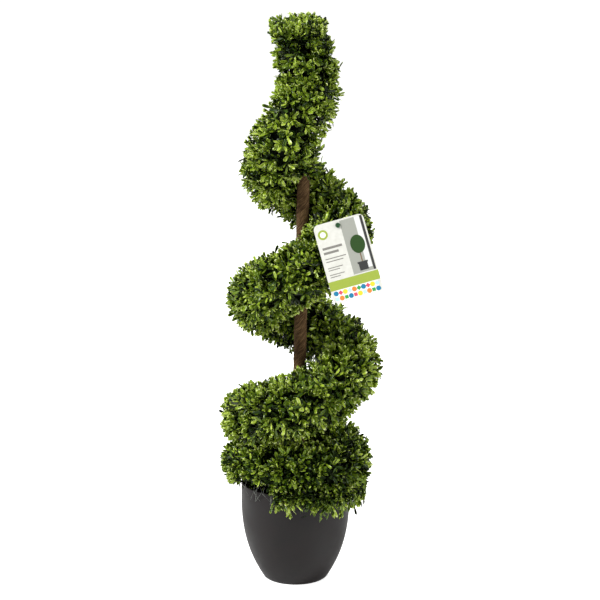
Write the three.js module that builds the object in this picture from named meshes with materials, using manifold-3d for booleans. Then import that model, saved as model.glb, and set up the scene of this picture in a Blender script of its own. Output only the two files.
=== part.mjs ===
// A spiral topiary, ready made: a thick strand of artificial boxwood winds up a straight brown pole. The
// pole's foot is set in a heavy filling in a dark plastic planter. A card hangs on the strand by a tie.
// Millimetres, +Z up, +Y to the back. The origin is the middle of the planter's flat underside.
import * as THREE from "three";
import { mergeVertices } from "three/addons/utils/BufferGeometryUtils.js";
import Module from "manifold-3d";

const wasm = await Module();
wasm.setup();
const { lerp, degToRad, radToDeg, seededRandom } = THREE.MathUtils;

// ---- Driving dimensions ----

const TOP = 1006; // the highest leaf tip
const GAP = 0.3; // clearance where two pieces meet
const LEAN = 0.0195; // the pole leans this much to +X for each millimetre of height

const PLANTER = {
  height: 179,
  rimRadius: 96.5,
  bellyRadius: 97,
  bellyHeight: 150,
  footRadius: 57,
  curve: 2.45, // the power by which the side falls in from the belly to the foot
  wall: 3,
  floor: 4,
  edge: 1.2, // rounding of the rim and of the foot's edge
  levels: 5,
  sides: 32,
};
const FILLING_TOP = 150;
const POLE = {
  foot: 20,
  neckHeight: 700,
  tip: 930,
  footRadius: 11.9,
  neckRadius: 11.1,
  tipRadius: 8,
  sides: 16,
};

// The strand's path: [turns wound, height, reach of its middle from the pole, radius to its leaf tips,
// radius of its dense middle]. Whole turns are on the right, quarter turns at the back, half turns on the
// left, three quarters in front.
const STRAND = [
  [0.4, 200, 91, 50, 30],
  [0.62, 224, 84, 48, 31],
  [1, 215, 79, 54, 39],
  [1.5, 297, 83, 58, 42],
  [2, 396, 84, 60, 44],
  [2.5, 515, 72, 58, 43],
  [3, 634, 61, 60, 44],
  [3.2, 681, 57, 61, 45],
  [3.5, 753, 50, 58, 44],
  [3.66, 838, 25, 59, 44],
  [3.9, 886, 7, 58, 43],
  [4.4, 964, 5, 57, 43],
];

// The masses that the strand is built of, from the planter up, each with the turn at which it ends.
const MASSES = [
  ["base_left", 0.625],
  ["base_front", 0.875],
  ["base_right", 1.125],
  ["base_back", 1.375],
  ["lower_left", 1.625],
  ["lower_front", 1.875],
  ["lower_right", 2.125],
  ["lower_back", 2.375],
  ["upper_left", 2.625],
  ["upper_front", 2.875],
  ["upper_right", 3.125],
  ["upper_back", 3.375],
  ["top_left", 3.625],
  ["top_front", 3.82],
  ["crown", 4.4],
];
const MASS_GAP = 0.5; // between the ends of two masses
const CORE = { sides: 10, rings: 5 };
const STEM = { coreRadius: 6, poleRadius: 4.5, drop: 14, sides: 5 };

// A sprig is a three-sided twig with four leaves. Its lengths are shares of the strand's radius.
const SPRIG = { perMm: 0.055, root: 0.58, tip: 0.8, rootRadius: 2.9, tipRadius: 2, tilt: 0.28, leaves: 4 };
const LEAF = { length: 32, width: 21, thickness: 2.2, widest: 0.6, spread: 1.25 };
const GOLDEN = Math.PI * (3 - Math.sqrt(5));

// Sprigs hang over the rim in front and on the right, and stand clear of it at the front left.
// Azimuths in degrees from +X, heights in millimetres.
const FRINGE = { from: -112, to: 28, bottom: 137, inner: 99.5, outer: 128, sprigs: 8 };
const RIM_VIEW = { from: -163, to: -118, bottom: 200 };
const SKIRT_BOTTOM = 160; // the lowest leaves elsewhere

const TAG = {
  width: 88,
  height: 138,
  thickness: 0.8,
  corner: 9,
  middle: new THREE.Vector3(90, -112, 610),
  roll: 15.5, // degrees, anticlockwise from the front
  lean: 18, // degrees, back at the top
  hole: { x: -2, y: 59.5, radius: 3 },
};
const TIE = { buttonRadius: 4.2, buttonThickness: 2, radius: 1.2, sunk: 10, turn: 2.92 };

// ---- Solids ----

/** A closed geometry as a solid that can be joined and cut. */
function solidOf(geometry) {
  const bare = new THREE.BufferGeometry();
  bare.setAttribute("position", geometry.getAttribute("position"));
  bare.setIndex(geometry.index);
  const merged = mergeVertices(bare, 1e-4);
  return new wasm.Manifold(
    new wasm.Mesh({
      numProp: 3,
      vertProperties: merged.attributes.position.array,
      triVerts: new Uint32Array(merged.index.array),
    }),
  );
}

/** A solid as a named mesh. */
function meshOf(name, solid, material) {
  const { vertProperties, triVerts } = solid.getMesh();
  const geometry = new THREE.BufferGeometry();
  geometry.setAttribute("position", new THREE.BufferAttribute(vertProperties, 3));
  geometry.setIndex(new THREE.BufferAttribute(triVerts, 1));
  geometry.computeVertexNormals();
  const mesh = new THREE.Mesh(geometry, material);
  mesh.name = name;
  return mesh;
}

/** The largest body of a solid, without the scraps that a cut left loose. */
function wholeBody(solid) {
  return solid.decompose().reduce((a, b) => (b.volume() > a.volume() ? b : a));
}

/** A profile of [radius, height] pairs turned about +Z. */
function turned(profile, sides) {
  const points = profile.map(([radius, height]) => new THREE.Vector2(radius, height));
  return new THREE.LatheGeometry(points, sides).rotateX(Math.PI / 2);
}

/** The matrix that stands a piece made along +Y at a point, its +Y along a direction and its +Z to a side. */
function standing(at, along, side) {
  const y = along.clone().normalize();
  const x = new THREE.Vector3().crossVectors(y, side).normalize();
  const z = new THREE.Vector3().crossVectors(x, y);
  return new THREE.Matrix4().makeBasis(x, y, z).setPosition(at);
}

// ---- Planter, filling and pole ----

/** Outer radius of the planter at a height. */
function planterRadius(z) {
  const { rimRadius, bellyRadius, bellyHeight, footRadius, height, curve } = PLANTER;
  if (z > bellyHeight) return lerp(bellyRadius, rimRadius, (z - bellyHeight) / (height - bellyHeight));
  return bellyRadius - (bellyRadius - footRadius) * ((bellyHeight - z) / bellyHeight) ** curve;
}

const levelStep = FILLING_TOP / PLANTER.levels;
const planterLevels = Array.from({ length: PLANTER.levels }, (_, i) => levelStep * (i + 1));

/** The planter's wall and floor, grown on every side by a clearance. */
function planterShell(grow) {
  const { height, rimRadius, footRadius, wall, floor, edge, sides } = PLANTER;
  const outside = planterLevels.map((z) => [planterRadius(z) + grow, z]);
  const inside = planterLevels.map((z) => [planterRadius(z) - wall - grow, z]).reverse();
  const profile = [
    [0, -grow],
    [footRadius - edge + grow, -grow],
    [planterRadius(edge) + grow, edge],
    ...outside,
    [rimRadius + grow, height - edge],
    [rimRadius - edge + grow, height + grow],
    [rimRadius - wall + edge - grow, height + grow],
    [rimRadius - wall - grow, height - edge],
    ...inside,
    [planterRadius(floor) - wall - grow, floor + grow],
    [0, floor + grow],
  ];
  return solidOf(turned(profile, sides));
}

/** The pole, grown by a clearance: slim, with a flat foot, a little taper and a lean. */
function poleBody(grow) {
  const { foot, tip, footRadius, neckHeight, neckRadius, tipRadius, sides } = POLE;
  const radiusAt = (z) =>
    z < neckHeight
      ? lerp(footRadius, neckRadius, (z - foot) / (neckHeight - foot))
      : lerp(neckRadius, tipRadius, (z - neckHeight) / (tip - neckHeight));
  const between = [1 / 3, 2 / 3, 1].map((share) => lerp(foot, neckHeight, share));
  const profile = [
    [0, foot - grow],
    [radiusAt(foot) + grow, foot - grow],
    ...between.map((z) => [radiusAt(z) + grow, z]),
    [radiusAt(tip) + grow, tip + grow],
    [0, tip + grow],
  ];
  const leaning = new THREE.Matrix4().makeShear(0, 0, 0, 0, LEAN, 0);
  return solidOf(turned(profile, sides).applyMatrix4(leaning));
}

/** The heavy filling that holds the pole, clear of the planter's wall. */
function fillingBody(socket) {
  const { wall, floor, sides } = PLANTER;
  const profile = [
    [0, floor + GAP],
    [planterRadius(floor) - wall - GAP, floor + GAP],
    ...planterLevels.map((z) => [planterRadius(z) - wall - GAP, z]),
    [0, FILLING_TOP],
  ];
  return solidOf(turned(profile, sides)).subtract(socket);
}

// ---- Strand ----

const strandValues = new THREE.CubicInterpolant(
  STRAND.map(([turn]) => turn),
  STRAND.flatMap(([, ...values]) => values),
  4,
);

/** The middle of the strand at a turn, its radius there and that of its core. */
function strandMiddle(turn) {
  const [height, reach, radius, core] = strandValues.evaluate(turn);
  const azimuth = 2 * Math.PI * turn;
  const x = reach * Math.cos(azimuth) + LEAN * height;
  return { middle: new THREE.Vector3(x, reach * Math.sin(azimuth), height), reach, radius, core };
}

/** The strand at a turn: its middle, radius and run, and the directions across it, out and up. */
function strandFrame(turn) {
  const step = 0.005;
  const { middle, reach, radius, core } = strandMiddle(turn);
  const ahead = strandMiddle(turn + step).middle.sub(strandMiddle(turn - step).middle);
  const speed = ahead.length() / (2 * step); // millimetres of strand for each turn
  const run = ahead.normalize();
  const azimuth = 2 * Math.PI * turn;
  const out = new THREE.Vector3(Math.cos(azimuth), Math.sin(azimuth), 0);
  out.addScaledVector(run, -out.dot(run)).normalize();
  const up = new THREE.Vector3().crossVectors(out, run);
  const circling = 2 * Math.PI * reach;
  const curvature = (circling / speed) ** 2 / Math.max(reach, 1);
  return { middle, radius, core, run, out, up, speed, curvature };
}

/** The direction across the strand at an angle: 0 is away from the pole, a quarter turn is up. */
function across({ out, up }, angle) {
  return out.clone().multiplyScalar(Math.cos(angle)).addScaledVector(up, Math.sin(angle));
}

const strandStart = STRAND[0][0];
const strandEnd = STRAND.at(-1)[0];
const waypoints = Array.from({ length: 500 }, (_, i) => {
  const turn = lerp(strandStart, strandEnd, i / 499);
  return { turn, ...strandMiddle(turn) };
});

/**
 * The place on the strand that a point belongs to, with its distance as a share of the strand's radius.
 * Above the strand's end, where the top is clipped level, only the distance to the side counts.
 */
function nearest(point) {
  const last = waypoints.at(-1);
  if (point.z > last.middle.z) {
    const aside = Math.hypot(point.x - last.middle.x, point.y - last.middle.y);
    return { turn: strandEnd, share: aside / last.radius };
  }
  let best = { share: Infinity };
  for (const { turn, middle, radius } of waypoints) {
    const share = point.distanceTo(middle) / radius;
    if (share < best.share) best = { turn, share };
  }
  return best;
}

/** Whether a point lies in the fringe that hangs over the planter's rim. */
function inFringe(point) {
  const azimuth = radToDeg(Math.atan2(point.y, point.x));
  const reach = Math.hypot(point.x, point.y);
  return azimuth > FRINGE.from && azimuth < FRINGE.to && reach > FRINGE.inner && reach < FRINGE.outer;
}

/** The lowest height that foliage reaches at a point round the planter. */
function lowest(point) {
  const azimuth = radToDeg(Math.atan2(point.y, point.x));
  if (azimuth > RIM_VIEW.from && azimuth < RIM_VIEW.to) return RIM_VIEW.bottom;
  return inFringe(point) ? FRINGE.bottom : SKIRT_BOTTOM;
}

/** Whether every corner of a piece lies in the space of the mass between two turns. */
function keepsToSpace(geometry, from, to) {
  const corners = geometry.getAttribute("position");
  const point = new THREE.Vector3();
  for (let i = 0; i < corners.count; i++) {
    point.fromBufferAttribute(corners, i);
    if (point.z > TOP || point.z < lowest(point)) return false;
    const { turn, share } = nearest(point);
    const reached = share < 1.04 || (to < 1.2 && point.z < PLANTER.height + 30 && inFringe(point));
    if (!reached || turn < from || turn > to) return false;
  }
  return true;
}

/** Frames of the strand between two turns, each carried on from the last without a twist about the strand. */
function carriedFrames(from, to, steps) {
  const frames = Array.from({ length: steps + 1 }, (_, i) => strandFrame(lerp(from, to, i / steps)));
  for (let i = 1; i <= steps; i++) {
    const { run, out, up } = frames[i];
    out.copy(frames[i - 1].out).addScaledVector(run, -frames[i - 1].out.dot(run)).normalize();
    up.crossVectors(out, run);
  }
  return frames;
}

/** The dense middle of a mass: a cylinder bent along the strand between two turns. */
function coreBody(from, to) {
  const frames = carriedFrames(from, to, CORE.rings);
  const geometry = new THREE.CylinderGeometry(1, 1, 1, CORE.sides, CORE.rings);
  const corners = geometry.getAttribute("position");
  for (let i = 0; i < corners.count; i++) {
    const share = corners.getY(i) + 0.5;
    const frame = frames[Math.round(share * CORE.rings)];
    const place = frame.middle
      .clone()
      .addScaledVector(frame.run, MASS_GAP * (0.5 - share))
      .addScaledVector(frame.out, corners.getX(i) * frame.core)
      .addScaledVector(frame.up, corners.getZ(i) * frame.core);
    const level = to === strandEnd && share > 0.99; // the top is clipped level
    corners.setXYZ(i, place.x, place.y, level ? frame.middle.z : place.z);
  }
  return solidOf(geometry);
}

/** The stem that carries a mass: it leaves the pole a little lower and widens into the core. */
function stemBody(turn) {
  const { middle } = strandMiddle(turn);
  const root = new THREE.Vector3(0, 0, middle.z - STEM.drop);
  root.x = LEAN * root.z;
  const along = middle.clone().sub(root);
  const { coreRadius, poleRadius, sides } = STEM;
  const geometry = new THREE.CylinderGeometry(coreRadius, poleRadius, along.length(), sides);
  geometry.translate(0, along.length() / 2, 0);
  return solidOf(geometry.applyMatrix4(standing(root, along, new THREE.Vector3(0, 0, 1))));
}

/** A leaf of eight faces, from its root along +Y. */
function leafGeometry(length, width) {
  const geometry = new THREE.OctahedronGeometry(1);
  const corners = geometry.getAttribute("position");
  for (let i = 0; i < corners.count; i++) {
    const y = corners.getY(i);
    const share = y < -0.5 ? 0 : y > 0.5 ? 1 : LEAF.widest;
    const z = (corners.getZ(i) * LEAF.thickness) / 2;
    corners.setXYZ(i, (corners.getX(i) * width) / 2, share * length, z);
  }
  return geometry;
}

/** A piece of a sprig, at the first scale at which it keeps to its space and touches nothing. */
function fitted(make, fits) {
  for (const scale of [1, 0.88, 0.76, 0.64]) {
    const geometry = make(scale);
    const solid = fits(geometry);
    if (solid) return { solid, scale };
  }
  return null;
}

/** The pieces of a sprig that grows from a root, along a direction, with its leaves fanned round its tip. */
function sprigBodies(root, along, length, fits, leaves = SPRIG.leaves, step = 0.08) {
  const side = new THREE.Vector3(0.3, 0.2, 1).normalize();
  const { rootRadius, tipRadius } = SPRIG;
  const twig = fitted((scale) => {
    const geometry = new THREE.CylinderGeometry(tipRadius, rootRadius, length * scale, 3);
    geometry.translate(0, (length * scale) / 2, 0);
    return geometry.applyMatrix4(standing(root, along, side));
  }, fits);
  if (!twig) return [];
  const bodies = [twig.solid];
  const frame = standing(root, along, side);
  const turnedBy = seededRandom() * 2 * Math.PI;
  for (let i = 0; i < leaves; i++) {
    const spin = turnedBy + (i * 2 * Math.PI) / SPRIG.leaves + 0.5 * (seededRandom() - 0.5);
    const spread = LEAF.spread * lerp(0.55, 1.15, seededRandom());
    const foot = new THREE.Vector3(0, length * twig.scale * (0.92 - step * i), 0).applyMatrix4(frame);
    const way = new THREE.Vector3().setFromSphericalCoords(1, spread, spin).transformDirection(frame);
    const leafLength = LEAF.length * lerp(0.9, 1.15, seededRandom());
    const leaf = fitted((scale) => {
      const geometry = leafGeometry(leafLength * scale, LEAF.width * scale);
      return geometry.applyMatrix4(standing(foot, way, along));
    }, fits);
    if (leaf) bodies.push(leaf.solid);
  }
  return bodies;
}

/** The angle across the strand that spreads sprigs evenly, though a bend is longer on its outside. */
function evenAngle(spin, crowding) {
  let angle = spin;
  for (let i = 0; i < 8; i++) {
    angle -= (angle + crowding * Math.sin(angle) - spin) / (1 + crowding * Math.cos(angle));
  }
  return angle;
}

/** A direction tilted by up to a share of its own length, by chance. */
function swayed(direction, share) {
  const sway = new THREE.Vector3(seededRandom() - 0.5, seededRandom() - 0.5, seededRandom() - 0.5);
  return direction.clone().addScaledVector(sway, 2 * share).normalize();
}

/** The sprigs round the side of the strand between two turns. */
function sideSprigs(from, to, fits) {
  const { speed } = strandFrame((from + to) / 2);
  const count = Math.round(speed * (to - from) * SPRIG.perMm);
  return Array.from({ length: count }, (_, i) => {
    const frame = strandFrame(lerp(from, to, (i + 0.5) / count));
    const crowding = Math.min(0.75, frame.curvature * frame.radius);
    const angle = evenAngle((i * GOLDEN) % (2 * Math.PI), crowding);
    const away = across(frame, angle);
    const root = frame.middle.clone().addScaledVector(away, frame.radius * SPRIG.root);
    return sprigBodies(root, swayed(away, SPRIG.tilt), frame.radius * (SPRIG.tip - SPRIG.root), fits);
  }).flat();
}

/** The sprigs that close an end of the strand, spread over the core's end face, in an onward direction. */
function endSprigs(turn, onward, fits) {
  const count = 7;
  const frame = strandFrame(turn);
  return Array.from({ length: count }, (_, i) => {
    const off = frame.core * 0.85 * Math.sqrt((i + 0.1) / count);
    const away = across(frame, i * GOLDEN);
    const root = frame.middle.clone().addScaledVector(away, off).addScaledVector(onward, -6);
    const along = onward.clone().addScaledVector(away, (0.7 * off) / frame.radius);
    return sprigBodies(root, swayed(along, 0.1), frame.radius * 0.4, fits);
  }).flat();
}

/** The sprigs between two turns that hang over the planter's rim. */
function fringeSprigs(from, to, fits) {
  const bodies = [];
  for (let i = 0; i < FRINGE.sprigs; i++) {
    const turn = 1 + lerp(FRINGE.from, FRINGE.to, (i + 0.5) / FRINGE.sprigs) / 360;
    if (turn < from || turn > to) continue;
    const { middle, out, radius } = strandFrame(turn);
    const root = middle.clone().addScaledVector(out, radius * 0.5);
    root.z -= radius * 0.2;
    const along = new THREE.Vector3(0, 0, -1).addScaledVector(out, i % 2 ? 0.1 : 0.22);
    bodies.push(...sprigBodies(root, along, radius * (i % 2 ? 1 : 0.7), fits, 5, 0.13));
  }
  return bodies;
}

/** One mass of the strand: core, stem and sprigs in one body, clear of all its neighbours. */
function massBody(index, obstacles, built) {
  const from = index === 0 ? strandStart : MASSES[index - 1][1];
  const to = MASSES[index][1];
  const fits = (geometry) => {
    if (!keepsToSpace(geometry, from, to)) return null;
    const solid = solidOf(geometry);
    const clear = [...obstacles, ...built].every((other) => solid.intersect(other).isEmpty());
    return clear ? solid : null;
  };
  seededRandom(index + 15);
  const sprigs = [
    ...sideSprigs(from, to, fits),
    ...fringeSprigs(from, to, fits),
    ...(from === strandStart ? endSprigs(from, strandFrame(from).run.negate(), fits) : []),
    ...(to === strandEnd ? endSprigs(to, new THREE.Vector3(0, 0, 1), fits) : []),
  ];
  const bare = coreBody(from, to).add(stemBody((from + to) / 2));
  const core = wholeBody(obstacles.reduce((body, other) => body.subtract(other), bare));
  return wholeBody(sprigs.reduce((body, sprig) => body.add(sprig), core));
}

// ---- Card and its tie ----

/** The card's outline, grown by a clearance, with or without its hole. */
function tagOutline(grow, withHole) {
  const width = TAG.width + 2 * grow;
  const height = TAG.height + 2 * grow;
  const { corner, hole } = TAG;
  const right = width / 2;
  const up = height / 2;
  const outline = new THREE.Shape();
  outline.absarc(right - corner, up - corner, corner, 0, Math.PI / 2);
  outline.absarc(corner - right, up - corner, corner, Math.PI / 2, Math.PI);
  outline.absarc(corner - right, corner - up, corner, Math.PI, 1.5 * Math.PI);
  outline.absarc(right - corner, corner - up, corner, 1.5 * Math.PI, 2 * Math.PI);
  const edge = new THREE.Path().absarc(hole.x, hole.y, hole.radius, 0, 2 * Math.PI, true);
  if (withHole) outline.holes.push(edge);
  return outline;
}

const tagPlace = new THREE.Matrix4()
  .makeTranslation(TAG.middle)
  .multiply(new THREE.Matrix4().makeRotationX(Math.PI / 2 - degToRad(TAG.lean)))
  .multiply(new THREE.Matrix4().makeRotationZ(degToRad(TAG.roll)));

/** The card's outline as a slab from one depth to another, along the card's own normal. */
function tagSlab(outline, back, front) {
  const options = { depth: front - back, bevelEnabled: false, curveSegments: 4 };
  const geometry = new THREE.ExtrudeGeometry(outline, options);
  return solidOf(geometry.translate(0, 0, back).applyMatrix4(tagPlace));
}

/** The button in front of the card's hole and the tie that runs from it through the hole into the strand. */
function tieBody(grow) {
  const { hole, thickness } = TAG;
  const onCard = (z) => new THREE.Vector3(hole.x, hole.y, z).applyMatrix4(tagPlace);
  const { middle, core } = strandMiddle(TIE.turn);
  const toTie = onCard(-6).sub(middle).normalize();
  const path = new THREE.CatmullRomCurve3([
    onCard(thickness / 2 + GAP + TIE.buttonThickness / 2),
    onCard(-6),
    middle.clone().addScaledVector(toTie, core + 12),
    middle.clone().addScaledVector(toTie, core - TIE.sunk - grow),
  ]);
  const section = new THREE.Shape().absarc(0, 0, TIE.radius + grow, 0, 2 * Math.PI);
  const options = { extrudePath: path, steps: 12, curveSegments: 4 };
  const cord = solidOf(new THREE.ExtrudeGeometry(section, options));
  const buttonSize = [TIE.buttonRadius + grow, TIE.buttonRadius + grow, TIE.buttonThickness + 2 * grow];
  const button = new THREE.CylinderGeometry(...buttonSize, 16).rotateX(Math.PI / 2);
  button.translate(hole.x, hole.y, thickness / 2 + GAP + TIE.buttonThickness / 2).applyMatrix4(tagPlace);
  return cord.add(solidOf(button));
}

// ---- The whole topiary ----

const materials = {
  planter: new THREE.MeshStandardMaterial({ color: 0x2b2a2a, roughness: 0.55 }),
  filling: new THREE.MeshStandardMaterial({ color: 0x3a342e, roughness: 0.95 }),
  pole: new THREE.MeshStandardMaterial({ color: 0x5a4530, roughness: 0.8 }),
  card: new THREE.MeshStandardMaterial({ color: 0xf2f1ea, roughness: 0.5 }),
  tie: new THREE.MeshStandardMaterial({ color: 0x1f4a24, roughness: 0.35 }),
};

/** The green of a mass, a little lighter from one mass to the next. */
function foliageMaterial(index) {
  const color = new THREE.Color().setHSL(0.25, 0.5, 0.2 + 0.03 * (index % 3));
  return new THREE.MeshStandardMaterial({ color, roughness: 0.6 });
}

const socket = poleBody(GAP);
const tagFront = tagSlab(tagOutline(1, false), -TAG.thickness / 2 - GAP, 60);
const obstacles = [socket, planterShell(GAP), tagFront, tieBody(GAP)];
const masses = [];
MASSES.forEach((_, index) => masses.push(massBody(index, obstacles, masses)));

const topiary = new THREE.Group();
topiary.name = "spiral_topiary";
topiary.add(
  meshOf("planter", planterShell(0), materials.planter),
  meshOf("filling", fillingBody(socket), materials.filling),
  meshOf("pole", poleBody(0), materials.pole),
  meshOf("tag_card", tagSlab(tagOutline(0, true), -TAG.thickness / 2, TAG.thickness / 2), materials.card),
  meshOf("tag_tie", tieBody(0), materials.tie),
  ...MASSES.map(([name], index) => meshOf(`foliage_${name}`, masses[index], foliageMaterial(index))),
);

export default topiary;
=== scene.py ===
# %% [markdown]
# # A spiral topiary in a planter
#
# The real thing is a ready-made decoration. Mats of moulded boxwood leaves are wound round a long
# wire frame, and the frame climbs a brown pole in a spiral. The pole's foot is set in a heavy
# filling in a plastic planter, and a printed card hangs on the foliage.
#
# The CAD model gives the sizes. Here each piece is made again with the detail that the eye expects:
# a turned planter with a soft rim, a pole with bark, and some forty thousand small leaves that grow
# by the same rule as the CAD model's few large ones.

# %% Load the CAD model as a fixed frame
import math

import bpy
import numpy as np
from mathutils import Matrix, Vector, noise


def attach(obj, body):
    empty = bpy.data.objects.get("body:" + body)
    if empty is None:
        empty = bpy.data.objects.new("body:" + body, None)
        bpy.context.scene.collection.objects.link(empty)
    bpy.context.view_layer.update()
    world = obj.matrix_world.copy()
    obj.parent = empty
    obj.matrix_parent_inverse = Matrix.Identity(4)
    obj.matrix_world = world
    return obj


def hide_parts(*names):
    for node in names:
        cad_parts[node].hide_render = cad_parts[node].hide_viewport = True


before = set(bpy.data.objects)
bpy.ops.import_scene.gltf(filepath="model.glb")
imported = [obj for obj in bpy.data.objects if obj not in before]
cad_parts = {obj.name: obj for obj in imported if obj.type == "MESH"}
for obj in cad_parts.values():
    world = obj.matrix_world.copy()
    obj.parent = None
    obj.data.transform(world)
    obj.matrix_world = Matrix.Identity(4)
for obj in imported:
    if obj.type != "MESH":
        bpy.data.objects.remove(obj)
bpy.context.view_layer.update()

# %% [markdown]
# ## Units and selection
#
# Blender works in metres and the topiary is known in millimetres, so every size below is written in
# millimetres and multiplied by MM once. Operators act on all that is selected, so each piece starts
# with nothing selected.

# %% Units and selection
MM = 0.001
LEAN = 0.0195  # the pole leans this much to +X for each millimetre of height
scene = bpy.context.scene


def deselect():
    """Leaves nothing selected, so that an operator meets only what comes after."""
    if bpy.context.object and bpy.context.object.mode != "OBJECT":
        bpy.ops.object.mode_set(mode="OBJECT")
    bpy.ops.object.select_all(action="DESELECT")


def only(piece):
    """Selects one piece and makes it the active one."""
    deselect()
    piece.select_set(True)
    bpy.context.view_layer.objects.active = piece
    return piece


def named(name):
    """The active piece under its own name, with its place moved into its mesh."""
    piece = only(bpy.context.object)
    piece.name = name
    piece.data.name = name
    bpy.ops.object.transform_apply(location=True, rotation=True, scale=True)
    return piece


def edit_all():
    """Enters edit mode with everything selected."""
    bpy.ops.object.mode_set(mode="EDIT")
    bpy.ops.mesh.select_all(action="SELECT")


def face_outwards():
    """Turns all faces of the piece in edit mode outwards."""
    bpy.ops.mesh.select_all(action="SELECT")
    bpy.ops.mesh.normals_make_consistent(inside=False)


def said(piece):
    """Prints what a piece came to."""
    low = [min(v.co[i] for v in piece.data.vertices) / MM for i in range(3)]
    high = [max(v.co[i] for v in piece.data.vertices) / MM for i in range(3)]
    size = " x ".join(f"{b - a:.0f}" for a, b in zip(low, high))
    print(f"{piece.name}: {len(piece.data.polygons)} faces, {size} mm")


# %% [markdown]
# ## Camera, light and floor
#
# A product like this is taken from a few metres away with a long lens, slightly from above, so
# that its upright lines stay upright. The light is a white room: a strong lamp at the upper left, a
# wide weak one on the right and one behind, and a bright surround that fills the shadows. The pale
# floor is wide enough to be the background too.

# %% Camera
CAMERA_PLACE = (0.0, -3.8, 1.44)
LOOK_DOWN, LOOK_RIGHT = 13.749, 0.123  # degrees
SENSOR_WIDTH, FOCAL_LENGTH = 36, 133.55
deselect()
bpy.ops.object.camera_add(
    location=CAMERA_PLACE,
    rotation=(math.radians(90 - LOOK_DOWN), 0, math.radians(-LOOK_RIGHT)),
)
camera = bpy.context.object
camera.data.sensor_width = SENSOR_WIDTH
camera.data.lens = FOCAL_LENGTH
scene.camera = camera
scene.view_settings.view_transform = "Standard"

# %% Light
LAMPS_AIM = (0, 0, 0.5)
SURROUND = 0.4
LAMPS = [  # name, place, side of the square lamp, watts
    ("key", (-3.1, -1.4, 3.3), 1.0, 205),
    ("fill", (2.9, -1.2, 2.0), 1.6, 55),
    ("back", (0.6, 2.4, 2.6), 1.6, 50),
]
for name, place, side, watts in LAMPS:
    aim = (Vector(LAMPS_AIM) - Vector(place)).to_track_quat("-Z", "Y").to_euler()
    bpy.ops.object.light_add(type="AREA", location=place, rotation=aim)
    lamp = bpy.context.object
    lamp.name = name
    lamp.data.size = side
    lamp.data.energy = watts

world = bpy.data.worlds.new("white_room")
world.use_nodes = True
background = world.node_tree.nodes["Background"]
background.inputs["Color"].default_value = (1.0, 1.0, 1.0, 1)
background.inputs["Strength"].default_value = SURROUND
scene.world = world

# %% [markdown]
# ## Colours and nodes
#
# Colours are chosen on a screen as sRGB hex values, while the shaders work in linear light, so one
# function turns them. Another adds a node, sets its inputs and joins it. Nearly every material is
# mottled by a noise, coloured by it and roughened by bumps, so these are functions too, which keeps
# the material cells short enough to read as recipes.


# %% Colours and nodes
def linear(hex_colour):
    """An sRGB hex colour as linear red, green, blue and alpha."""
    parts = [int(hex_colour[i : i + 2], 16) / 255 for i in (1, 3, 5)]
    return (*[c / 12.92 if c <= 0.04045 else ((c + 0.055) / 1.055) ** 2.4 for c in parts], 1)


def add(material, kind, inputs=None, links=None, **settings):
    """Adds a node with its settings, the values of its inputs and its links."""
    node = material.node_tree.nodes.new(kind)
    for key, value in settings.items():
        setattr(node, key, value)
    for key, value in (inputs or {}).items():
        node.inputs[key].default_value = value
    for key, socket in (links or {}).items():
        material.node_tree.links.new(socket, node.inputs[key])
    return node


def finish(name, colour, **inputs):
    """A new material with plain values on its own shader, and that shader."""
    material = bpy.data.materials.new(name)
    material.use_nodes = True
    material.diffuse_color = linear(colour)
    shader = material.node_tree.nodes["Principled BSDF"]
    shader.inputs["Base Color"].default_value = linear(colour)
    for key, value in inputs.items():
        shader.inputs[key.replace("_", " ")].default_value = value
    return material, shader


def drive(material, shader, socket, output):
    """Joins a pattern to one of the shader's sockets."""
    material.node_tree.links.new(output, shader.inputs[socket])


def mottle(material, size, detail=2.0, place=None, **inputs):
    """A noise of patches about a size in millimetres across, as a factor."""
    if place is None:
        place = add(material, "ShaderNodeTexCoord").outputs["Object"]
    values = {"Scale": 1 / (size * MM), "Detail": detail, **inputs}
    return add(material, "ShaderNodeTexNoise", values, {"Vector": place}).outputs["Fac"]


def colour_by(material, shader, factor, *stops):
    """Drives the base colour by a ramp over a factor. Each stop is (place, hex colour)."""
    ramp = add(material, "ShaderNodeValToRGB", links={"Fac": factor})
    elements = ramp.color_ramp.elements
    while len(elements) < len(stops):
        elements.new(0.5)
    for element, (place, colour) in zip(elements, stops):
        element.position = place
        element.color = linear(colour)
    drive(material, shader, "Base Color", ramp.outputs["Color"])


def roughen(material, shader, factor, strength, depth):
    """Bumps the surface by a factor, up to a depth in millimetres."""
    values = {"Strength": strength, "Distance": depth * MM}
    bumps = add(material, "ShaderNodeBump", values, {"Height": factor})
    drive(material, shader, "Normal", bumps.outputs["Normal"])


# %% [markdown]
# ## Floor
#
# The floor isn't part of the topiary. A flat plane is all it is on the real set too: a sheet of
# matt white paper. Far from the lamps it would turn grey, so the camera sees it with a little glow
# of its own, which the topiary doesn't receive.

# %% Floor
FLOOR_SIZE = 60  # metres
deselect()
bpy.ops.mesh.primitive_plane_add(size=FLOOR_SIZE)
floor = named("floor")
paper, shader = finish("matt_white_paper", "#F7F7F6", Roughness=0.9, Emission_Color=(1, 1, 1, 1))
seen = add(paper, "ShaderNodeLightPath").outputs["Is Camera Ray"]
glow = add(paper, "ShaderNodeMath", {1: 0.7}, {0: seen}, operation="MULTIPLY")
drive(paper, shader, "Emission Strength", glow.outputs[0])
floor.data.materials.append(paper)

# %% [markdown]
# ## Planter
#
# The planter is injection-moulded: a thin wall that swells from a small flat foot to a wide belly
# and stands nearly upright at its plain rim. A turned shape like this could be spun from a profile
# or drawn up from a circle. It is drawn up here, one extrusion and one resize for each level,
# because that shows how the side follows a single curve, and the same steps run down again inside.

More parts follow.
